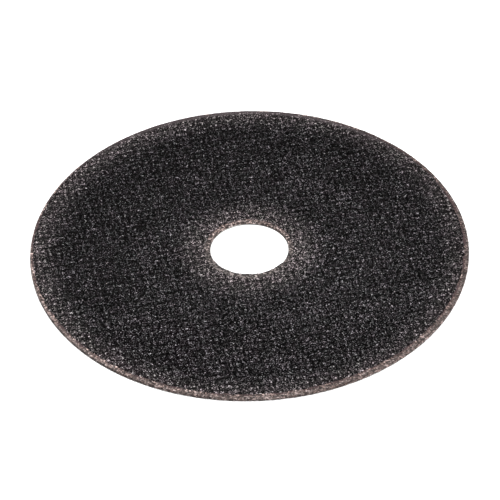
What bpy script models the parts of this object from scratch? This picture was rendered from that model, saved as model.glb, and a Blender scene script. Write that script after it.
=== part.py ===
"""Flat cutting disc for metal, 125 mm across, lying on its label side.

Bonded abrasive is pressed between two black woven facings, and a thin steel
ring lines the foot of the bore. The abrasive stays bare around the rim and
around the bore. Units are metres, +Z is the arbor axis, and the origin is the
centre of the underside.
"""

import math

import bmesh
import bpy
from mathutils import Matrix, Vector

MM = 0.001

# The whole disc
OUTER_DIAMETER = 125.0 * MM
THICKNESS = 1.0 * MM
BORE_DIAMETER = 22.23 * MM
RIM_EDGE_BREAK = 0.08 * MM

# The steel ring, flush with the underside
RING_WIDTH = 3.4 * MM
RING_THICKNESS = 0.35 * MM
RING_EDGE_BREAK = 0.05 * MM
RING_LIP = 0.135 * MM  # how far the ring stands inside the abrasive's own bore

# The woven facings, pressed in flush with the abrasive
FACING_THICKNESS = 0.2 * MM
BARE_RIM_WIDTH = 1.16 * MM  # abrasive left bare outside a centred facing
BARE_BORE_WIDTH = 1.635 * MM  # the same around the bore, on the upper side
RIM_OFF_CENTRE = (-0.25, 0.555)  # upper facing's outline, as shares of the bare rim
HOLE_OFF_CENTRE = (-0.12, -0.275)  # its hole, as shares of the bare ring at the bore

# The weave of the upper facing
WARP_PITCH = 1.925 * MM
WEFT_PITCH = 2.112 * MM
WEAVE_TURN = math.radians(9.2)
WEAVE_CENTRE = (0.0, -0.75 * MM)  # a crossing with the weft on top
WEFT_KNUCKLE = 0.1 * MM  # height of the weft where it passes over, above the hollows
WARP_KNUCKLE = 0.07 * MM
PLAIN_BORDER = 0.6 * MM  # smooth edge left between the weave and the facing's outline

# Fits
SEAT_GAP = 0.02 * MM  # between the faces of two layers
EDGE_GAP = 0.05 * MM  # between a piece's edge and the recess that holds it

SEGMENTS = 96
SMOOTH_BELOW = math.radians(30.0)

OUTER_RADIUS = OUTER_DIAMETER / 2
BORE_RADIUS = BORE_DIAMETER / 2
RING_RADIUS = BORE_RADIUS + RING_WIDTH
ABRASIVE_BORE_RADIUS = BORE_RADIUS + RING_LIP
FACING_RADIUS = OUTER_RADIUS - BARE_RIM_WIDTH
UPPER_HOLE_RADIUS = BORE_RADIUS + BARE_BORE_WIDTH
LOWER_HOLE_RADIUS = RING_RADIUS + EDGE_GAP
RECESS_DEPTH = FACING_THICKNESS + SEAT_GAP
CENTRE = Vector((0.0, 0.0))
UPPER_CENTRE = Vector(RIM_OFF_CENTRE) * BARE_RIM_WIDTH
UPPER_HOLE_CENTRE = Vector(HOLE_OFF_CENTRE) * BARE_BORE_WIDTH


def clear_scene():
    for thing in list(bpy.data.objects):
        bpy.data.objects.remove(thing, do_unlink=True)


def make_material(name, colour, roughness, metallic=0.0):
    material = bpy.data.materials.new(name)
    material.use_nodes = True
    shader = material.node_tree.nodes["Principled BSDF"]
    shader.inputs["Base Color"].default_value = (*colour, 1.0)
    shader.inputs["Roughness"].default_value = roughness
    shader.inputs["Metallic"].default_value = metallic
    return material


def finish_piece(name, bm, material):
    """Turns a closed bmesh into a named, smooth-shaded object."""
    bmesh.ops.recalc_face_normals(bm, faces=bm.faces)
    mesh = bpy.data.meshes.new(name)
    bm.to_mesh(mesh)
    bm.free()
    mesh.materials.append(material)
    mesh.shade_smooth()
    mesh.set_sharp_from_angle(angle=SMOOTH_BELOW)
    piece = bpy.data.objects.new(name, mesh)
    bpy.context.scene.collection.objects.link(piece)
    return piece


def place_loop(verts, radius, height, centre):
    """Lays a loop of vertices out on a circle, from +X round towards +Y."""
    for index, vert in enumerate(verts):
        turn = math.tau * index / len(verts)
        vert.co = (
            centre.x + radius * math.cos(turn),
            centre.y + radius * math.sin(turn),
            height,
        )


def loop_edges(verts):
    """The edges that join each vertex of a loop to the next."""
    following = verts[1:] + verts[:1]
    return [
        next(edge for edge in vert.link_edges if edge.other_vert(vert) is after)
        for vert, after in zip(verts, following)
    ]


def extrude_loop(bm, verts, radius, height, centre):
    """Extrudes a loop into the next circle of a section, and returns its vertices."""
    grown = bmesh.ops.extrude_edge_only(bm, edges=loop_edges(verts))["geom"]
    new = {item for item in grown if isinstance(item, bmesh.types.BMVert)}
    verts = [
        next(edge.other_vert(vert) for edge in vert.link_edges if edge.other_vert(vert) in new)
        for vert in verts
    ]
    place_loop(verts, radius, height, centre)
    return verts


def turned_bmesh(section):
    """A closed ring whose section is a list of (radius, height, centre) circles."""
    bm = bmesh.new()
    circle = bmesh.ops.create_circle(bm, cap_ends=False, radius=1.0, segments=SEGMENTS)
    first = circle["verts"]
    place_loop(first, *section[0])
    last = first
    for station in section[1:]:
        last = extrude_loop(bm, last, *station)
    bmesh.ops.bridge_loops(bm, edges=loop_edges(first) + loop_edges(last))
    return bm


def make_abrasive_body():
    """The moulded abrasive: bare at rim and bore, recessed for ring and facings."""
    rim = OUTER_RADIUS
    broken_rim = OUTER_RADIUS - RIM_EDGE_BREAK
    bore = ABRASIVE_BORE_RADIUS
    broken_bore = ABRASIVE_BORE_RADIUS + RIM_EDGE_BREAK
    recess = FACING_RADIUS + EDGE_GAP
    collar = UPPER_HOLE_RADIUS - EDGE_GAP
    rebate = RING_RADIUS + EDGE_GAP
    ceiling = RING_THICKNESS + SEAT_GAP
    upper_floor = THICKNESS - RECESS_DEPTH
    section = [
        (rim, THICKNESS - RIM_EDGE_BREAK, CENTRE),
        (broken_rim, THICKNESS, CENTRE),
        (recess, THICKNESS, UPPER_CENTRE),
        (recess, upper_floor, UPPER_CENTRE),
        (collar, upper_floor, UPPER_HOLE_CENTRE),
        (collar, THICKNESS, UPPER_HOLE_CENTRE),
        (broken_bore, THICKNESS, CENTRE),
        (bore, THICKNESS - RIM_EDGE_BREAK, CENTRE),
        (bore, ceiling, CENTRE),
        (rebate, ceiling, CENTRE),
        (rebate, RECESS_DEPTH, CENTRE),
        (recess, RECESS_DEPTH, CENTRE),
        (recess, 0.0, CENTRE),
        (broken_rim, 0.0, CENTRE),
        (rim, RIM_EDGE_BREAK, CENTRE),
    ]
    grit = make_material("bonded_abrasive", (0.27, 0.21, 0.19), 0.9)
    return finish_piece("abrasive_body", turned_bmesh(section), grit)


def make_bore_ring():
    """The thin steel ring around the foot of the bore, with its edges broken."""
    section = [
        (BORE_RADIUS, RING_THICKNESS - RING_EDGE_BREAK, CENTRE),
        (BORE_RADIUS + RING_EDGE_BREAK, RING_THICKNESS, CENTRE),
        (RING_RADIUS, RING_THICKNESS, CENTRE),
        (RING_RADIUS, 0.0, CENTRE),
        (BORE_RADIUS + RING_EDGE_BREAK, 0.0, CENTRE),
        (BORE_RADIUS, RING_EDGE_BREAK, CENTRE),
    ]
    steel = make_material("ring_steel", (0.55, 0.54, 0.52), 0.35, metallic=1.0)
    return finish_piece("bore_ring", turned_bmesh(section), steel)


def make_lower_facing(cloth):
    """The facing of the label side, flat where the disc rests on it."""
    section = [
        (LOWER_HOLE_RADIUS, FACING_THICKNESS, CENTRE),
        (FACING_RADIUS, FACING_THICKNESS, CENTRE),
        (FACING_RADIUS, 0.0, CENTRE),
        (LOWER_HOLE_RADIUS, 0.0, CENTRE),
    ]
    return finish_piece("lower_facing", turned_bmesh(section), cloth)


def in_weave(place):
    """Whether a corner of a cell lies far enough inside the facing's outline and hole."""
    from_rim = FACING_RADIUS - (place.xy - UPPER_CENTRE).length
    from_hole = (place.xy - UPPER_HOLE_CENTRE).length - UPPER_HOLE_RADIUS
    return min(from_rim, from_hole) > PLAIN_BORDER


def weft_on_top(cell):
    """Whether the weft passes over the warp at a cell's crossing."""
    middle = cell.calc_center_median()
    return (round(middle.x / WARP_PITCH) + round(middle.y / WEFT_PITCH)) % 2 == 0


def weave_bmesh(valley):
    """The woven middle of the facing: a cell for each crossing, poked up to its knuckle."""
    bm = bmesh.new()
    warps = 2 * math.ceil(OUTER_RADIUS / WARP_PITCH) + 1
    wefts = 2 * math.ceil(OUTER_RADIUS / WEFT_PITCH) + 1
    stretch = Matrix.Diagonal((warps * WARP_PITCH / 2, wefts * WEFT_PITCH / 2, 1.0, 1.0))
    seat = Matrix.Translation((*WEAVE_CENTRE, valley)) @ Matrix.Rotation(WEAVE_TURN, 4, "Z")
    bmesh.ops.create_grid(bm, x_segments=warps, y_segments=wefts, size=1.0, matrix=stretch)
    waste = [vert for vert in bm.verts if not in_weave(seat @ vert.co)]
    while waste:
        bmesh.ops.delete(bm, geom=waste, context="VERTS")
        waste = [
            vert for vert in bm.verts
            if not vert.link_faces or sum(edge.is_boundary for edge in vert.link_edges) > 2
        ]
    weft_cells = [cell for cell in bm.faces if weft_on_top(cell)]
    warp_cells = [cell for cell in bm.faces if not weft_on_top(cell)]
    bmesh.ops.poke(bm, faces=weft_cells, offset=WEFT_KNUCKLE)
    bmesh.ops.poke(bm, faces=warp_cells, offset=WARP_KNUCKLE)
    bmesh.ops.transform(bm, matrix=seat, verts=bm.verts)
    return bm


def add_border(bm, weave_edges, radius, height, centre):
    """Fills the smooth border between the weave and one round outline of the facing."""
    circle = bmesh.ops.create_circle(bm, cap_ends=False, radius=1.0, segments=SEGMENTS)
    outline = circle["verts"]
    place_loop(outline, radius, height, centre)
    border = weave_edges + loop_edges(outline)
    bmesh.ops.triangle_fill(bm, use_beauty=True, edges=border, normal=(0.0, 0.0, 1.0))
    return outline


def make_upper_facing(cloth):
    """The facing that shows: weave on its upper side, flat on its back."""
    valley = THICKNESS - WEFT_KNUCKLE
    back = THICKNESS - FACING_THICKNESS
    midway = (FACING_RADIUS + UPPER_HOLE_RADIUS) / 2
    bm = weave_bmesh(valley)
    weave_edges = [edge for edge in bm.edges if edge.is_boundary]
    near_rim = [edge for edge in weave_edges if edge.verts[0].co.xy.length > midway]
    near_hole = [edge for edge in weave_edges if edge.verts[0].co.xy.length <= midway]
    rim = add_border(bm, near_rim, FACING_RADIUS, valley, UPPER_CENTRE)
    hole = add_border(bm, near_hole, UPPER_HOLE_RADIUS, valley, UPPER_HOLE_CENTRE)
    rim_foot = extrude_loop(bm, rim, FACING_RADIUS, back, UPPER_CENTRE)
    hole_foot = extrude_loop(bm, hole, UPPER_HOLE_RADIUS, back, UPPER_HOLE_CENTRE)
    bmesh.ops.bridge_loops(bm, edges=loop_edges(rim_foot) + loop_edges(hole_foot))
    return finish_piece("upper_facing", bm, cloth)


def main():
    clear_scene()
    make_abrasive_body()
    make_bore_ring()
    cloth = make_material("black_woven_facing", (0.028, 0.027, 0.028), 0.7)
    make_lower_facing(cloth)
    make_upper_facing(cloth)


main()
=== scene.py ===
"""Looks of a flat cutting disc for metal, set on a plain bright floor.

The upper and lower facings are black cloth, woven from thick threads and filled
with resin. The abrasive between them is bare around the rim and the bore, where
its grit shows. A thin steel ring lines the foot of the bore.
"""

import math

import bmesh
import bpy
from mathutils import Matrix, Quaternion, Vector, noise


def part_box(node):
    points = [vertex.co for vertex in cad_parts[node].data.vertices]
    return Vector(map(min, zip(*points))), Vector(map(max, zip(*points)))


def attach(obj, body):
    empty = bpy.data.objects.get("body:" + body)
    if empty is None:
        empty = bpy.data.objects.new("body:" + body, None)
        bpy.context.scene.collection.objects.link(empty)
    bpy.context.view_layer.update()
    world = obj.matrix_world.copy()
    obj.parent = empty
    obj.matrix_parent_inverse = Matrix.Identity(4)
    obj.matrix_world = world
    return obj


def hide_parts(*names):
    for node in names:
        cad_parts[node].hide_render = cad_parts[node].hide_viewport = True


MM = 0.001

# The weave, with its threads where the solids have their knuckles
WARP_PITCH = 1.925 * MM
WEFT_PITCH = 2.112 * MM
WEAVE_TURN = math.radians(9.2)
WEAVE_CENTRE = (0.0, -0.75 * MM)
WARP_WIDTH = 0.4  # widths are shares of the pitch
WEFT_WIDTH = 0.62
WARP_LIFT = 0.92  # height of the warp's knuckles, as a share of the weft's
WARP_PHASE = 1.0  # how many threads the warp's knuckles lie after the weft's
KNUCKLE_FULLNESS = 0.3  # power of its rise along the thread: lower is more pillow-like
DIP = 0.1  # height of a thread where it dips, as a share of its knuckle
CELL_STEPS = 5  # grid faces along each side of a crossing
CLOTH_RELIEF = 0.11 * MM
TALLEST_KNUCKLE = 1.2  # heights of the cloth are shares of the relief
DEEPEST_HOLLOW = -0.3
KNUCKLE_VARIETY = 0.25
KNUCKLE_VARIES_OVER = 0.73  # in threads
LUMP_SIZE = 0.8 * MM
LUMP_HEIGHT = 0.25
SMALL_LUMP_HEIGHT = 0.15
CLOTH_MARGIN = 0.3 * MM  # between the last whole grid face and the cloth's outline
THREAD_WANDER = 0.1  # sideways, as a share of the pitch
THREAD_WANDERS_OVER = 5.0 * MM

# The edges between cloth and bare abrasive, and the upper edge of the bore
RAGGEDNESS = 0.34 * MM
LONG_WAVE = 2.2 * MM
SHORT_WAVE = 0.7 * MM
LIP_RAGGEDNESS = 0.25 * MM
LIP_WEAR = 0.1 * MM

# The bare abrasive
GRAIN_SIZE = 0.5 * MM
GRAIN_DEPTH = 0.09 * MM
GRAIN_FULLNESS = 1.3
GRIT_PATCH_SIZE = 1.6 * MM
GRIT_PATCH_DEPTH = 0.4  # as a share of the grain's depth
EDGE_BREAK = 0.1 * MM
EDGE_GAP = 0.02 * MM
SEAT_GAP = 0.02 * MM

# Where grit sinks a surface to, as shares: inwards to the axis, and downwards
FROM_ABOVE = (0.0, 1.0)
AT_TOP_EDGE = (0.5, 1.0)
FROM_OUTSIDE = (1.0, 0.0)
AT_FOOT_EDGE = (0.5, -1.0)
FROM_BELOW = (0.0, -1.0)
AT_LIP = (-0.7, 0.7)
FROM_BORE = (-1.0, 0.0)

RIM_SEGMENTS = 1200
BORE_SEGMENTS = 360
LEDGE_STEPS = 5
RIM_WALL_STEPS = 6
FOOT_STEPS = 4
COLLAR_STEPS = 7
BORE_WALL_STEPS = 5
SMOOTH_BELOW = math.radians(50.0)
TOUCH = 0.001 * MM

# Bands of the finish, between two distances in mm outwards from an edge
RIM_WEAR = (-9.8, 0.5)
HOLE_WEAR = (11.0, 1.4)
HOLE_FRINGE = (1.3, 0.3)
MIDDLE_OF_FACE = (-34.0, -14.0)
HEM = (-1.7, -0.1)
RIM_LEDGE = (1.0, 0.1)
COLLAR = (3.0, 1.0)
COLLAR_START = (-0.5, 0.0)
RIM_WALL = (-0.15, -0.05)
BORE_WALL = (1.0, 0.2)

# Finish of the cloth, with sizes in mm and tones in powers of e
SPECK_SIZE = 0.4
DUST_AND_GLINT_SIZE = 0.27
CLOTH_TONE = -4.51
WEAR_CENTRE = Vector((0.4 * MM, -0.5 * MM))  # of the greyer band inside the rim
WEAR_STRENGTH = 0.85
WEAR_LEAN = (-0.003, 0.003, 0.0)  # how that band strengthens towards one side, per mm
PAINTED_LIGHT_DRIFT = (0.0012, -0.0032, 0.0)  # painted light: the face painted lighter towards the front right, per mm
WEFT_PAINTED_LIGHT_LEAN = -0.2  # painted light: how much lighter one end of a knuckle is painted
WARP_PAINTED_LIGHT_LEAN = 0.3
# Painted glints near the knuckles: their offset and radii
GLINT_SHIFT = (0.25, 0.25, 0.0)  # in threads
GLINT_RADII = (0.02, 0.22)
DUST_TINTS = ((1.11, 0.95, 0.97), (1.01, 0.98, 1.05))
PATCH_TINTS = ((0.97, 1.01, 0.97), (1.04, 0.99, 1.02))
WORN_TINT = (1.1, 0.97, 0.99)
HEM_COLOUR = (0.085, 0.07, 0.073)
HEM_SHARE = 0.55
HEM_DEPTHS = (35.0, 60.0)  # it grows between these places, in mm towards the back

# Finish of the abrasive
COARSE_GRAIN = 0.6
FINE_GRAIN = 0.36
ABRASIVE_TONE = -2.45
FAR_SIDE = (-3.0, 7.0)  # the bore's far side begins between these places, in mm
GRAIN_TINTS = ((1.35, 0.94, 0.84), (1.17, 0.965, 0.92))
DULL_TINT = (1.08, 0.98, 0.96)
SMEAR_COLOUR = (0.042, 0.026, 0.027)

# Finish of the steel
STEEL_COLOURS = ((0.05, 0.047, 0.045), (0.5, 0.49, 0.47))
STEEL_SPOT_COLOUR = (0.1, 0.075, 0.06)

# The photograph's view
VIEW_DISTANCE = 0.933
VIEW_ELEVATION = math.radians(41.0)
VIEW_ROLL = math.radians(-1.2)
LENS = 235.7
SENSOR = 36.0
FRAME_SHIFT = (0.0012, 0.0002)

# The studio, with each lamp's place, size and power
FLOOR_SIZE = 12.0
FLOOR_DROP = 0.02 * MM
FLOOR_COLOUR = (0.92, 0.92, 0.92, 1.0)
ROOM_COLOUR = (1.0, 1.0, 1.0, 1.0)
ROOM_STRENGTH = 0.25
LAMPS = {
    "overhead": ((0.0, 0.1, 1.2), 1.0, 17.0),
    "back_left": ((-0.8, 0.8, 0.75), 0.6, 20.0),
    "front_right": ((0.24, -0.26, 0.22), 0.2, 1.4),
}

# Sockets of the Mix node when it mixes colours
MIX_SHARE, MIX_FIRST, MIX_SECOND, MIX_RESULT = 0, 6, 7, 2

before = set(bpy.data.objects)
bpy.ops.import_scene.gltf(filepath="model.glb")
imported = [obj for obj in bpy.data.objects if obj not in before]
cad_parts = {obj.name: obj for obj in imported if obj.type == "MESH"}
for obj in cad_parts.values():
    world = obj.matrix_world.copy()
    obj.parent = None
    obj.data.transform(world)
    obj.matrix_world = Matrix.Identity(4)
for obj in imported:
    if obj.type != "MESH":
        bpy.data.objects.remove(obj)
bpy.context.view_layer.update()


def circle_of(node, height, hole):
    """Centre and radius of the outline, or of the hole, that a CAD node has at a height."""
    low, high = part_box(node)
    middle = (low.xy + high.xy) / 2
    half_way_out = (high.x - low.x) / 4
    found = [
        vert.co.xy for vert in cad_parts[node].data.vertices
        if abs(vert.co.z - height) < TOUCH
        and ((vert.co.xy - middle).length < half_way_out) == hole
    ]
    left = min(spot.x for spot in found)
    right = max(spot.x for spot in found)
    front = min(spot.y for spot in found)
    back = max(spot.y for spot in found)
    return Vector(((left + right) / 2, (front + back) / 2)), (right - left) / 2


AXIS = Vector((0.0, 0.0))
RIM_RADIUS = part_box("abrasive_body")[1].x
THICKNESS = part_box("abrasive_body")[1].z
RING_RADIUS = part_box("bore_ring")[1].x
RING_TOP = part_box("bore_ring")[1].z
UPPER_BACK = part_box("upper_facing")[0].z
LOWER_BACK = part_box("lower_facing")[1].z
UPPER_FLOOR = UPPER_BACK - SEAT_GAP
LOWER_FLOOR = LOWER_BACK + SEAT_GAP
UPPER_OUTLINE = circle_of("upper_facing", UPPER_BACK, hole=False)
UPPER_HOLE = circle_of("upper_facing", UPPER_BACK, hole=True)
LOWER_OUTLINE = circle_of("lower_facing", LOWER_BACK, hole=False)
LOWER_HOLE = circle_of("lower_facing", LOWER_BACK, hole=True)
BORE_RADIUS = min(vert.co.xy.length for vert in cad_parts["abrasive_body"].data.vertices)


# Outlines and loops


def uneven(place, size, seed=0.0):
    """Smooth noise of about -1 to 1 that changes over the given size."""
    return noise.noise(Vector((place.x, place.y, place.z)) / size + Vector((seed, -seed, seed)))


def wider(circle, margin):
    """A circle with the same centre and a radius larger by a margin."""
    centre, radius = circle
    return centre, radius + margin


def ragged_outline(centre, radius, segments, raggedness=RAGGEDNESS):
    """Points of a round edge that wanders in and out."""
    points = []
    for index in range(segments):
        turn = math.tau * index / segments
        outward = Vector((math.cos(turn), math.sin(turn), 0.0))
        place = outward * radius
        wander = uneven(place, LONG_WAVE) + 0.5 * uneven(place, SHORT_WAVE, seed=3.0)
        points.append(centre.to_3d() + outward * (radius + raggedness * wander))
    return points


def round_outline(centre, radius, segments):
    """Points of a true circle."""
    return [
        centre.to_3d() + Vector((math.cos(turn), math.sin(turn), 0.0)) * radius
        for turn in (math.tau * index / segments for index in range(segments))
    ]


def blended(points_a, points_b, share):
    """An outline part of the way from one to another."""
    return [a.lerp(b, share) for a, b in zip(points_a, points_b)]


def between(start, end, steps):
    """Values on the way from start to end, without either."""
    return [start + (end - start) * step / steps for step in range(1, steps)]


def loop_edges(verts):
    """The edges that join each vertex of a loop to the next."""
    return [
        next(edge for edge in vert.link_edges if edge.other_vert(vert) is after)
        for vert, after in zip(verts, verts[1:] + verts[:1])
    ]


def place_loop(verts, points, height):
    """Moves a loop's vertices to an outline's points at a height."""
    for vert, point in zip(verts, points):
        vert.co = (point.x, point.y, height)


def new_loop(bm, points, height):
    """A closed loop of edges along an outline."""
    circle = bmesh.ops.create_circle(bm, cap_ends=False, radius=1.0, segments=len(points))
    verts = circle["verts"]
    place_loop(verts, points, height)
    return verts


def extrude_loop(bm, verts, points, height):
    """Extrudes a loop to a new outline and height, and returns the new vertices."""
    grown = bmesh.ops.extrude_edge_only(bm, edges=loop_edges(verts))["geom"]
    new = {item for item in grown if isinstance(item, bmesh.types.BMVert)}
    verts = [
        next(edge.other_vert(vert) for edge in vert.link_edges if edge.other_vert(vert) in new)
        for vert in verts
    ]
    place_loop(verts, points, height)
    return verts


def finish_piece(name, bm, material, node):
    """Makes a bmesh the object that stands for a CAD node."""
    bmesh.ops.recalc_face_normals(bm, faces=bm.faces)
    mesh = bpy.data.meshes.new(name)
    bm.to_mesh(mesh)
    bm.free()
    mesh.materials.append(material)
    mesh.shade_smooth()
    mesh.set_sharp_from_angle(angle=SMOOTH_BELOW)
    piece = bpy.data.objects.new(name, mesh)
    bpy.context.scene.collection.objects.link(piece)
    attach(piece, "root")
    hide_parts(node)


# Cloth


def thread_place(place):
    """Where a place lies in the weave: counted in warp threads, then in weft threads."""
    flat = Vector((place.x, place.y, 0.0)) - Vector((*WEAVE_CENTRE, 0.0))
    flat.rotate(Quaternion((0.0, 0.0, 1.0), -WEAVE_TURN))
    warp_wander = uneven(flat, THREAD_WANDERS_OVER)
    weft_wander = uneven(flat, THREAD_WANDERS_OVER, seed=7.0)
    warp = flat.x / WARP_PITCH + THREAD_WANDER * warp_wander
    weft = flat.y / WEFT_PITCH + THREAD_WANDER * weft_wander
    return warp, weft


def thread_rise(across, along, width, phase):
    """Height of the nearest thread, from 0 to 1: round across, rising and dipping along."""
    thread = round(across)
    offset = 2 * (across - thread) / width
    crown = math.sqrt(max(1.0 - offset ** 2, 0.0))
    wave = math.cos(math.pi * (along + thread + phase))
    return crown * (DIP + (1.0 - DIP) * max(wave, 0.0) ** KNUCKLE_FULLNESS)


def cloth_height(warp, weft):
    """Height of the cloth at a place in the weave: 0 in its hollows, about 1 on its knuckles."""
    rise = max(
        thread_rise(weft, warp, WEFT_WIDTH, 0.0),
        WARP_LIFT * thread_rise(warp, weft, WARP_WIDTH, WARP_PHASE),
    )
    crossing = Vector((round(warp), round(weft), 0.0))
    knuckle = 1.0 + KNUCKLE_VARIETY * uneven(crossing, KNUCKLE_VARIES_OVER, seed=11.0)
    place = Vector((warp * WARP_PITCH, weft * WEFT_PITCH, 0.0))
    lumps = LUMP_HEIGHT * uneven(place, LUMP_SIZE)
    lumps += SMALL_LUMP_HEIGHT * uneven(place, LUMP_SIZE / 2, seed=5.0)
    return min(max(rise * knuckle + lumps, DEEPEST_HOLLOW), TALLEST_KNUCKLE)


def cloth_grid(bm, outline, hole):
    """A fine grid in line with the threads, cut back to fit between outline and hole."""
    centre, radius = outline
    hole_centre, hole_radius = hole
    reach = radius + centre.length
    warps = 2 * math.ceil(reach / WARP_PITCH) * CELL_STEPS
    wefts = 2 * math.ceil(reach / WEFT_PITCH) * CELL_STEPS
    size = (warps * WARP_PITCH / CELL_STEPS / 2, wefts * WEFT_PITCH / CELL_STEPS / 2)
    seat = Matrix.Translation((*WEAVE_CENTRE, 0.0)) @ Matrix.Rotation(WEAVE_TURN, 4, "Z")
    stretch = Matrix.Diagonal((*size, 1.0, 1.0))
    bmesh.ops.create_grid(
        bm, x_segments=warps, y_segments=wefts, size=1.0, matrix=seat @ stretch
    )
    waste = [
        vert for vert in bm.verts
        if (vert.co.xy - centre).length > radius - CLOTH_MARGIN
        or (vert.co.xy - hole_centre).length < hole_radius + CLOTH_MARGIN
    ]
    while waste:
        bmesh.ops.delete(bm, geom=waste, context="VERTS")
        waste = [
            vert for vert in bm.verts
            if not vert.link_faces or sum(edge.is_boundary for edge in vert.link_edges) > 2
        ]


def cloth_bmesh(outline, hole, thickness):
    """Cloth whose knuckles reach up to zero, with a flat back the thickness below."""
    bm = bmesh.new()
    threads = bm.verts.layers.float_vector.new("threads")
    cloth_grid(bm, outline, hole)
    halfway = (outline[1] + hole[1]) / 2
    grid_edges = [edge for edge in bm.edges if edge.is_boundary]
    near_rim = [edge for edge in grid_edges if edge.verts[0].co.xy.length > halfway]
    near_hole = [edge for edge in grid_edges if edge.verts[0].co.xy.length <= halfway]
    rim_points = ragged_outline(*outline, RIM_SEGMENTS)
    hole_points = ragged_outline(*hole, BORE_SEGMENTS)
    rim = new_loop(bm, rim_points, 0.0)
    border = near_rim + loop_edges(rim)
    bmesh.ops.triangle_fill(bm, use_beauty=True, edges=border, normal=(0.0, 0.0, 1.0))
    edge_of_hole = new_loop(bm, hole_points, 0.0)
    border = near_hole + loop_edges(edge_of_hole)
    bmesh.ops.triangle_fill(bm, use_beauty=True, edges=border, normal=(0.0, 0.0, 1.0))
    for vert in bm.verts:
        warp, weft = thread_place(vert.co)
        vert[threads] = (warp, weft, 0.0)
        vert.co.z = CLOTH_RELIEF * (cloth_height(warp, weft) - TALLEST_KNUCKLE)
    rim_foot = extrude_loop(bm, rim, rim_points, -thickness)
    hole_foot = extrude_loop(bm, edge_of_hole, hole_points, -thickness)
    back = loop_edges(rim_foot) + loop_edges(hole_foot)
    bmesh.ops.triangle_fill(bm, use_beauty=True, edges=back, normal=(0.0, 0.0, -1.0))
    return bm


def make_woven_face(cloth):
    """The facing that shows, woven side up."""
    bm = cloth_bmesh(UPPER_OUTLINE, UPPER_HOLE, THICKNESS - UPPER_BACK)
    bmesh.ops.translate(bm, verts=bm.verts, vec=(0.0, 0.0, THICKNESS))
    finish_piece("woven_face", bm, cloth, "upper_facing")


def make_woven_back(cloth):
    """The facing of the hidden side, woven side down."""
    bm = cloth_bmesh(LOWER_OUTLINE, LOWER_HOLE, LOWER_BACK)
    bmesh.ops.scale(bm, verts=bm.verts, vec=(1.0, 1.0, -1.0))
    finish_piece("woven_back", bm, cloth, "lower_facing")


# Abrasive


def grit(place):
    """How far a grain's surface lies below the nominal face, from 0 to about 1."""
    distances, _ = noise.voronoi(place / GRAIN_SIZE)
    grain = min(distances[0] * GRAIN_FULLNESS, 1.0)
    return max(grain + GRIT_PATCH_DEPTH * uneven(place, GRIT_PATCH_SIZE), 0.0)


def grit_loop(verts, into):
    """Sinks a loop's vertices by the grit, in a direction of (inwards, downwards)."""
    for vert in verts:
        outward = vert.co.xy.normalized()
        depth = GRAIN_DEPTH * grit(vert.co)
        vert.co.x -= outward.x * into[0] * depth
        vert.co.y -= outward.y * into[0] * depth
        vert.co.z -= into[1] * depth


def outer_side(bm):
    """The body from the upper recess round the rim to the lower one: its end loops."""
    rim = round_outline(AXIS, RIM_RADIUS, RIM_SEGMENTS)
    broken_rim = round_outline(AXIS, RIM_RADIUS - EDGE_BREAK, RIM_SEGMENTS)
    upper_recess = ragged_outline(*wider(UPPER_OUTLINE, EDGE_GAP), RIM_SEGMENTS)
    lower_recess = ragged_outline(*wider(LOWER_OUTLINE, EDGE_GAP), RIM_SEGMENTS)
    first = new_loop(bm, upper_recess, UPPER_FLOOR)
    loop = extrude_loop(bm, first, upper_recess, THICKNESS)
    for share in between(0.0, 1.0, LEDGE_STEPS):
        loop = extrude_loop(bm, loop, blended(upper_recess, broken_rim, share), THICKNESS)
        grit_loop(loop, FROM_ABOVE)
    loop = extrude_loop(bm, loop, broken_rim, THICKNESS)
    grit_loop(loop, AT_TOP_EDGE)
    for height in between(THICKNESS, 0.0, RIM_WALL_STEPS):
        loop = extrude_loop(bm, loop, rim, height)
        grit_loop(loop, FROM_OUTSIDE)
    loop = extrude_loop(bm, loop, broken_rim, 0.0)
    grit_loop(loop, AT_FOOT_EDGE)
    for share in between(0.0, 1.0, FOOT_STEPS):
        loop = extrude_loop(bm, loop, blended(broken_rim, lower_recess, share), 0.0)
        grit_loop(loop, FROM_BELOW)
    loop = extrude_loop(bm, loop, lower_recess, 0.0)
    return first, extrude_loop(bm, loop, lower_recess, LOWER_FLOOR)


def bore_side(bm):
    """The body from the upper recess down the bore to the lower one: its end loops."""
    collar = ragged_outline(*wider(UPPER_HOLE, -EDGE_GAP), BORE_SEGMENTS)
    bore = round_outline(AXIS, BORE_RADIUS - GRAIN_DEPTH, BORE_SEGMENTS)
    lip = ragged_outline(AXIS, BORE_RADIUS + LIP_WEAR, BORE_SEGMENTS, LIP_RAGGEDNESS)
    rebate = round_outline(AXIS, RING_RADIUS + EDGE_GAP, BORE_SEGMENTS)
    ceiling = RING_TOP + SEAT_GAP
    first = new_loop(bm, collar, UPPER_FLOOR)
    loop = extrude_loop(bm, first, collar, THICKNESS)
    for share in between(0.0, 1.0, COLLAR_STEPS):
        loop = extrude_loop(bm, loop, blended(collar, lip, share), THICKNESS)
        grit_loop(loop, FROM_ABOVE)
    loop = extrude_loop(bm, loop, lip, THICKNESS)
    grit_loop(loop, AT_LIP)
    for share in between(0.0, 1.0, BORE_WALL_STEPS):
        height = THICKNESS + (ceiling - THICKNESS) * share
        loop = extrude_loop(bm, loop, blended(lip, bore, share), height)
        grit_loop(loop, FROM_BORE)
    loop = extrude_loop(bm, loop, bore, ceiling)
    loop = extrude_loop(bm, loop, rebate, ceiling)
    return first, extrude_loop(bm, loop, rebate, LOWER_FLOOR)


def make_gritty_body(bonded):
    """The moulded abrasive, gritty where it is bare and smooth in its recesses."""
    bm = bmesh.new()
    outer_ends = outer_side(bm)
    bore_ends = bore_side(bm)
    for outer, inner in zip(outer_ends, bore_ends):
        seat = loop_edges(outer) + loop_edges(inner)
        bmesh.ops.triangle_fill(bm, use_beauty=True, edges=seat, normal=(0.0, 0.0, 1.0))
    finish_piece("gritty_body", bm, bonded, "abrasive_body")


# Shader steps


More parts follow.
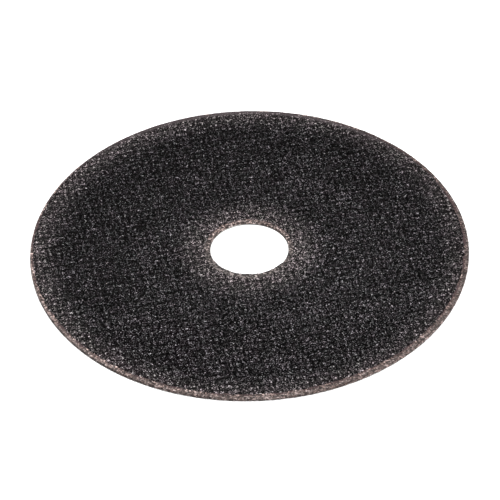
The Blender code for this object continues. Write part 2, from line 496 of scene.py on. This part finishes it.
def add(tree, kind, inputs, **settings):
    """Adds a shader node, and sets or links its inputs."""
    node = tree.nodes.new("ShaderNode" + kind)
    for name, value in settings.items():
        setattr(node, name, value)
    for name, value in inputs.items():
        if isinstance(value, bpy.types.NodeSocket):
            tree.links.new(value, node.inputs[name])
        else:
            node.inputs[name].default_value = value
    return node


def spread(tree, value, low, high, to_low=0.0, to_high=1.0, ease="LINEAR"):
    """Maps a value's range to another one, clamped at both ends."""
    inputs = {
        "Value": value, "From Min": low, "From Max": high, "To Min": to_low, "To Max": to_high,
    }
    return add(tree, "MapRange", inputs, interpolation_type=ease).outputs["Result"]


def reckon(tree, operation, first, second=0.0, third=0.0):
    """One step of arithmetic on values."""
    inputs = {0: first, 1: second, 2: third}
    return add(tree, "Math", inputs, operation=operation).outputs["Value"]


def add_up(tree, start, parts):
    """A start plus each part times its weight."""
    total = start
    for part, weight in parts:
        total = reckon(tree, "MULTIPLY_ADD", part, weight, total)
    return total


def reckon_vector(tree, operation, first, second=(0.0, 0.0, 0.0)):
    """The outputs of one step of arithmetic on vectors."""
    return add(tree, "VectorMath", {0: first, 1: second}, operation=operation).outputs


def scaled(tree, vector, factor):
    """A vector or a colour times a value."""
    inputs = {0: vector, "Scale": factor}
    return add(tree, "VectorMath", inputs, operation="SCALE").outputs["Vector"]


def flattened(tree, place):
    """A place moved down to the plane of the underside."""
    return reckon_vector(tree, "MULTIPLY", place, (1.0, 1.0, 0.0))["Vector"]


def mix(tree, share, first, second):
    """A colour between two others."""
    first, second = (
        colour if isinstance(colour, bpy.types.NodeSocket) else (*colour, 1.0)
        for colour in (first, second)
    )
    inputs = {MIX_SHARE: share, MIX_FIRST: first, MIX_SECOND: second}
    return add(tree, "Mix", inputs, data_type="RGBA").outputs[MIX_RESULT]


def soft_noise(tree, place, scale, detail):
    """Cloudy noise from 0 to 1, with its middle near a half."""
    inputs = {"Vector": place, "Scale": scale, "Detail": detail}
    return add(tree, "TexNoise", inputs).outputs["Fac"]


def place_in_mm(tree):
    """Object coordinates, in millimetres."""
    return scaled(tree, add(tree, "TexCoord", {}).outputs["Object"], 1.0 / MM)


def use_group(tree, group, inputs):
    """The outputs of a node group with its inputs set or linked."""
    return add(tree, "Group", inputs, node_tree=group).outputs


def band(tree, group, place, circle, span):
    """Share that runs from 0 to 1 over a span of distances from a circle's edge, in mm."""
    centre, radius = circle
    inputs = {
        "Place": place, "Centre X": centre.x / MM, "Centre Y": centre.y / MM,
        "From": radius / MM + span[0], "To": radius / MM + span[1],
    }
    return use_group(tree, group, inputs)["Share"]


def add_bump(tree, shader, height, strength, depth):
    """Roughens a material's surface by a height."""
    bump = add(tree, "Bump", {"Strength": strength, "Distance": depth, "Height": height})
    tree.links.new(bump.outputs["Normal"], shader.inputs["Normal"])


def new_material(name):
    """A material with its node tree and its Principled shader."""
    material = bpy.data.materials.new(name)
    material.use_nodes = True
    tree = material.node_tree
    return material, tree, tree.nodes["Principled BSDF"]


# Node groups


def new_group(name, inputs, outputs):
    """An empty node group with named inputs and float outputs."""
    group = bpy.data.node_groups.new(name, "ShaderNodeTree")
    for label, value in inputs.items():
        kind = "NodeSocketVector" if isinstance(value, tuple) else "NodeSocketFloat"
        socket = group.interface.new_socket(label, in_out="INPUT", socket_type=kind)
        socket.default_value = value
    for label in outputs:
        group.interface.new_socket(label, in_out="OUTPUT", socket_type="NodeSocketFloat")
    entry = group.nodes.new("NodeGroupInput").outputs
    leave = group.nodes.new("NodeGroupOutput").inputs
    return group, entry, leave


def grain_group():
    """Grains packed side by side: a tone for each, and its domed height."""
    inputs = {"Place": (0.0, 0.0, 0.0), "Size": 0.5}
    group, entry, leave = new_group("grains", inputs, ("Tone", "Height"))
    density = reckon(group, "DIVIDE", 1.0, entry["Size"])
    cells = add(group, "TexVoronoi", {"Vector": entry["Place"], "Scale": density}).outputs
    tone = add(group, "SeparateColor", {"Color": cells["Color"]}).outputs["Red"]
    dome = spread(group, cells["Distance"], 0.0, 0.7, 1.0, 0.0)
    group.links.new(tone, leave["Tone"])
    group.links.new(dome, leave["Height"])
    return group


def thread_group():
    """How worn the nearest thread is, with painted light: round across, in pillows along it, each
    painted lighter at one end.
    """
    inputs = {"Across": 0.0, "Along": 0.0, "Width": 0.7, "Phase": 0.0, "Lean": 0.0}
    group, entry, leave = new_group("thread", inputs, ("Rise",))
    thread = reckon(group, "ROUND", entry["Across"])
    offset = reckon(group, "SUBTRACT", entry["Across"], thread)
    offset = reckon(group, "DIVIDE", offset, reckon(group, "MULTIPLY", entry["Width"], 0.5))
    inset = reckon(group, "SUBTRACT", 1.0, reckon(group, "MULTIPLY", offset, offset))
    crown = reckon(group, "SQRT", reckon(group, "MAXIMUM", inset, 0.0))
    turn = reckon(group, "ADD", reckon(group, "ADD", entry["Along"], thread), entry["Phase"])
    turn = reckon(group, "MULTIPLY", turn, math.pi)
    wave = reckon(group, "MAXIMUM", reckon(group, "COSINE", turn), 0.0)
    wave = reckon(group, "POWER", wave, KNUCKLE_FULLNESS)
    rise = reckon(group, "MULTIPLY_ADD", wave, 1.0 - DIP, DIP)
    # Painted light: each knuckle is painted lighter at one end
    lean = reckon(group, "MULTIPLY_ADD", reckon(group, "SINE", turn), entry["Lean"], 1.0)
    painted_light = reckon(group, "MULTIPLY", reckon(group, "MULTIPLY", crown, rise), lean)
    group.links.new(painted_light, leave["Rise"])
    return group


def band_group():
    """Share from 0 to 1 between two distances from a centre, seen from above."""
    inputs = {
        "Place": (0.0, 0.0, 0.0), "Centre X": 0.0, "Centre Y": 0.0, "From": 0.0, "To": 1.0,
    }
    group, entry, leave = new_group("round_band", inputs, ("Share",))
    centre = add(group, "CombineXYZ", {"X": entry["Centre X"], "Y": entry["Centre Y"]})
    flat = flattened(group, entry["Place"])
    offset = reckon_vector(group, "SUBTRACT", flat, centre.outputs["Vector"])["Vector"]
    away = reckon_vector(group, "LENGTH", offset)["Value"]
    share = spread(group, away, entry["From"], entry["To"], ease="SMOOTHSTEP")
    group.links.new(share, leave["Share"])
    return group


# Materials


def painted_knuckle_glint(tree, weave):
    """A painted glint: a bright spot near each knuckle, each with a strength of its own."""
    shifted = reckon_vector(tree, "ADD", weave, GLINT_SHIFT)["Vector"]
    inputs = {"Vector": shifted, "Scale": 1.0, "Randomness": 0.5}
    cells = add(tree, "TexVoronoi", inputs, voronoi_dimensions="2D").outputs
    spot = spread(tree, cells["Distance"], *GLINT_RADII, 1.0, 0.0)
    strength = add(tree, "SeparateColor", {"Color": cells["Color"]}).outputs["Red"]
    return reckon(tree, "MULTIPLY", spot, strength)


def woven_crest(tree, weave, thread):
    """How worn the cloth is, with painted light on its knuckles, by whichever thread lies on top.
    """
    threads = add(tree, "SeparateXYZ", {"Vector": weave}).outputs
    weft = {
        "Across": threads["Y"], "Along": threads["X"],
        "Width": WEFT_WIDTH, "Lean": WEFT_PAINTED_LIGHT_LEAN,
    }
    warp = {
        "Across": threads["X"], "Along": threads["Y"],
        "Width": WARP_WIDTH, "Lean": WARP_PAINTED_LIGHT_LEAN, "Phase": WARP_PHASE,
    }
    weft = use_group(tree, thread, weft)["Rise"]
    warp = use_group(tree, thread, warp)["Rise"]
    return reckon(tree, "MAXIMUM", weft, reckon(tree, "MULTIPLY", warp, WARP_LIFT))


def cloth_material(grains, bands, thread):
    """Black resin in a plain weave, greyer on its knuckles from wear and painted light, greyer
    towards both edges, with painted glints and painted light towards the front right.
    """
    material, tree, shader = new_material("resin_filled_cloth")
    place = place_in_mm(tree)
    weave = add(tree, "Attribute", {}, attribute_name="threads").outputs["Vector"]
    crest = woven_crest(tree, weave, thread)
    glint = painted_knuckle_glint(tree, weave)
    near_rim = band(tree, bands, place, (WEAR_CENTRE, UPPER_OUTLINE[1]), RIM_WEAR)
    near_hole = band(tree, bands, place, UPPER_HOLE, HOLE_WEAR)
    fringe = band(tree, bands, place, UPPER_HOLE, HOLE_FRINGE)
    middle = band(tree, bands, place, (AXIS, RIM_RADIUS), MIDDLE_OF_FACE)
    hem = band(tree, bands, place, UPPER_OUTLINE, HEM)
    patches = soft_noise(tree, place, 0.45, 2.0)
    clouds = soft_noise(tree, place, 0.08, 1.0)
    fine = soft_noise(tree, place, 1.6, 3.0)
    # Specks and dust: light grey grit, with painted glints at their bright centres
    specks = use_group(tree, grains, {"Place": place, "Size": SPECK_SIZE})
    dust_and_glints = use_group(tree, grains, {"Place": place, "Size": DUST_AND_GLINT_SIZE})

    # Painted glints, painted stronger near the rim
    painted_glint_strength = reckon(tree, "MULTIPLY_ADD", near_rim, 1.8, 2.4)
    # Painted light: the face is painted lighter towards the front right
    drift = reckon_vector(tree, "DOT_PRODUCT", place, PAINTED_LIGHT_DRIFT)["Value"]
    lean = reckon_vector(tree, "DOT_PRODUCT", place, WEAR_LEAN)["Value"]
    wear = reckon(tree, "ADD", lean, WEAR_STRENGTH)
    tone = add_up(tree, CLOTH_TONE, (
        # Knuckles lighter than the hollows: wear, and painted light
        (crest, 0.9),
        (glint, painted_glint_strength),
        (middle, -0.16),
        (drift, 1.0),
        (patches, 1.4),
        (clouds, 0.9),
        (specks["Tone"], 1.2),
        (specks["Height"], 5.3),
        (dust_and_glints["Tone"], 3.2),
        (fine, 0.2),
        (fringe, 0.3),
        (near_rim, wear),
        (near_hole, 0.95),
    ))
    worn = reckon(tree, "MAXIMUM", near_rim, near_hole)
    film = reckon(tree, "MULTIPLY_ADD", worn, 0.0025, 0.0008)
    grey = reckon(tree, "MULTIPLY_ADD", reckon(tree, "EXPONENT", tone), 0.0019, film)
    grey = reckon(tree, "MINIMUM", grey, 0.4)

    tint = mix(tree, dust_and_glints["Tone"], *DUST_TINTS)
    tint = mix(tree, worn, tint, WORN_TINT)
    hue = mix(tree, spread(tree, patches, 0.35, 0.65), *PATCH_TINTS)
    tint = reckon_vector(tree, "MULTIPLY", tint, hue)["Vector"]
    depth = add(tree, "SeparateXYZ", {"Vector": place}).outputs["Y"]
    hem = reckon(tree, "MULTIPLY", hem, spread(tree, depth, *HEM_DEPTHS))
    hem = reckon(tree, "MULTIPLY", hem, HEM_SHARE)
    colour = mix(tree, hem, scaled(tree, tint, grey), HEM_COLOUR)
    tree.links.new(colour, shader.inputs["Base Color"])
    shader.inputs["Roughness"].default_value = 0.55
    shader.inputs["Specular IOR Level"].default_value = 0.0
    height = add_up(tree, fine, ((specks["Height"], 0.5), (dust_and_glints["Height"], 0.3)))
    add_bump(tree, shader, height, 0.7, 0.08 * MM)
    return material


def abrasive_material(grains, bands):
    """Pink-brown grit in resin, with lighter and darker grains."""
    material, tree, shader = new_material("bare_grit")
    place = place_in_mm(tree)
    parts = add(tree, "SeparateXYZ", {"Vector": place}).outputs
    ledge = band(tree, bands, place, UPPER_OUTLINE, RIM_LEDGE)
    collar = band(tree, bands, place, UPPER_HOLE, COLLAR)
    collar_start = band(tree, bands, place, UPPER_HOLE, COLLAR_START)
    rim_wall = band(tree, bands, place, (AXIS, RIM_RADIUS), RIM_WALL)
    bore_wall = band(tree, bands, place, (AXIS, BORE_RADIUS), BORE_WALL)
    far = spread(tree, parts["Y"], *FAR_SIDE)
    dull = reckon(tree, "MULTIPLY", collar, reckon(tree, "SUBTRACT", 1.0, far))
    grain = use_group(tree, grains, {"Place": place, "Size": COARSE_GRAIN})
    small = use_group(tree, grains, {"Place": place, "Size": FINE_GRAIN})
    patch = soft_noise(tree, place, 0.8, 2.0)
    stain = soft_noise(tree, place, 0.2, 1.0)
    outward = reckon_vector(tree, "NORMALIZE", flattened(tree, place))["Vector"]
    marks = soft_noise(tree, scaled(tree, outward, RIM_RADIUS / MM), 1.1, 2.0)

    speckle = reckon(tree, "SUBTRACT", small["Tone"], 0.5)
    contrast = reckon(tree, "MULTIPLY_ADD", ledge, 1.6, 2.4)
    # The rim wall is painted lighter towards the right (painted light), the bare top darker towards
    # the right
    lean = reckon(tree, "MULTIPLY_ADD", rim_wall, 0.6, -0.3)
    lean = reckon(tree, "MULTIPLY", lean, MM / RIM_RADIUS)
    tone = add_up(tree, ABRASIVE_TONE, (
        (grain["Tone"], 1.2),
        (speckle, contrast),
        (patch, 1.4),
        # Painted light: the bore's far wall, which faces the front, is painted lighter
        (reckon(tree, "MULTIPLY", bore_wall, far), 0.25),
        # Painted shade: the rim wall is painted a little darker
        (rim_wall, -0.05),
        (parts["X"], lean),
        (dull, -0.5),
        (collar, -0.15),
        (marks, 1.6),
    ))
    grey = reckon(tree, "MULTIPLY", reckon(tree, "EXPONENT", tone), 0.08)
    grey = reckon(tree, "MINIMUM", grey, 0.5)
    tint = mix(tree, grain["Tone"], *GRAIN_TINTS)
    tint = mix(tree, reckon(tree, "MULTIPLY", dull, 0.6), tint, DULL_TINT)

    bare_start = reckon(tree, "SUBTRACT", 1.0, dull)
    bare_start = reckon(tree, "MULTIPLY", collar_start, bare_start)
    smear = reckon(tree, "MINIMUM", ledge, bare_start)
    smear = reckon(tree, "MULTIPLY", smear, spread(tree, stain, 0.35, 0.6, 0.2, 1.0))
    smear = add_up(tree, smear, ((grain["Tone"], 0.8), (patch, 0.6)))
    smear = spread(tree, smear, 1.05, 1.4)
    colour = mix(tree, smear, scaled(tree, tint, grey), SMEAR_COLOUR)
    tree.links.new(colour, shader.inputs["Base Color"])
    shader.inputs["Roughness"].default_value = 0.75
    shader.inputs["Specular IOR Level"].default_value = 0.15
    height = add_up(tree, grain["Height"], ((small["Height"], 0.5),))
    add_bump(tree, shader, height, 0.8, 0.08 * MM)
    return material


def steel_material():
    """Thin stamped steel, with faint marks that run round it, a few dull spots, and painted light:
    lighter towards the left, darker towards the right.
    """
    material, tree, shader = new_material("ring_steel")
    place = place_in_mm(tree)
    parts = add(tree, "SeparateXYZ", {"Vector": place}).outputs
    radius = reckon_vector(tree, "LENGTH", flattened(tree, place))["Value"]
    rings = add(tree, "CombineXYZ", {"X": radius, "Z": parts["Z"]}).outputs["Vector"]
    drift = soft_noise(tree, place, 0.6, 2.0)
    marks = soft_noise(tree, rings, 9.0, 3.0)
    spots = soft_noise(tree, place, 3.5, 4.0)
    # Painted light and shade: the ring painted lighter towards the left, darker towards the right
    painted_light = reckon(tree, "MULTIPLY_ADD", spread(tree, parts["X"], 1.0, -7.0), 0.93, 0.27)
    tone = add_up(tree, 0.0, ((drift, 0.5), (marks, 0.5)))
    tone = reckon(tree, "MULTIPLY", tone, painted_light)
    colour = mix(tree, tone, *STEEL_COLOURS)
    colour = mix(tree, spread(tree, spots, 0.58, 0.7), colour, STEEL_SPOT_COLOUR)
    tree.links.new(colour, shader.inputs["Base Color"])
    tree.links.new(spread(tree, tone, 0.3, 0.7, 0.3, 0.5), shader.inputs["Roughness"])
    shader.inputs["Metallic"].default_value = 1.0
    add_bump(tree, shader, marks, 0.3, 0.02 * MM)
    return material


# Studio


def make_floor():
    """A plain floor, bright enough to read as white."""
    bm = bmesh.new()
    bmesh.ops.create_grid(bm, x_segments=1, y_segments=1, size=FLOOR_SIZE / 2)
    bmesh.ops.translate(bm, verts=bm.verts, vec=(0.0, 0.0, -FLOOR_DROP))
    mesh = bpy.data.meshes.new("floor")
    bm.to_mesh(mesh)
    bm.free()
    material, _, shader = new_material("floor_white")
    shader.inputs["Base Color"].default_value = FLOOR_COLOUR
    shader.inputs["Roughness"].default_value = 1.0
    shader.inputs["Specular IOR Level"].default_value = 0.0
    mesh.materials.append(material)
    floor = bpy.data.objects.new("floor", mesh)
    bpy.context.scene.collection.objects.link(floor)


def make_softbox(name, place, size, power):
    """A square lamp that faces the disc."""
    lamp = bpy.data.lights.new(name, "AREA")
    lamp.size = size
    lamp.energy = power
    box = bpy.data.objects.new(name, lamp)
    box.location = place
    box.rotation_euler = (-Vector(place)).to_track_quat("-Z", "Y").to_euler()
    bpy.context.scene.collection.objects.link(box)


def light_studio():
    """Soft light from overhead and the back left, and a small lamp low at the front right."""
    world = bpy.data.worlds.new("room")
    world.use_nodes = True
    background = world.node_tree.nodes["Background"].inputs
    background["Color"].default_value = ROOM_COLOUR
    background["Strength"].default_value = ROOM_STRENGTH
    bpy.context.scene.world = world
    for name, (place, size, power) in LAMPS.items():
        make_softbox(name, place, size, power)
    bpy.context.scene.view_settings.view_transform = "Standard"


def make_camera():
    """The photograph's view: a long lens, low over the front edge, very slightly rolled."""
    lens = bpy.data.cameras.new("camera")
    lens.lens = LENS
    lens.sensor_width = SENSOR
    lens.shift_x, lens.shift_y = FRAME_SHIFT
    camera = bpy.data.objects.new("camera", lens)
    back = Vector((0.0, -math.cos(VIEW_ELEVATION), math.sin(VIEW_ELEVATION)))
    camera.location = back * VIEW_DISTANCE
    aim = (-back).to_track_quat("-Z", "Y") @ Quaternion((0.0, 0.0, 1.0), VIEW_ROLL)
    camera.rotation_euler = aim.to_euler()
    bpy.context.scene.collection.objects.link(camera)
    bpy.context.scene.camera = camera


def main():
    """Builds the pieces, the studio and the camera."""
    grains = grain_group()
    bands = band_group()
    cloth = cloth_material(grains, bands, thread_group())
    make_woven_face(cloth)
    make_woven_back(cloth)
    make_gritty_body(abrasive_material(grains, bands))
    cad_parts["bore_ring"].material_slots[0].material = steel_material()
    make_floor()
    light_studio()
    make_camera()


main()
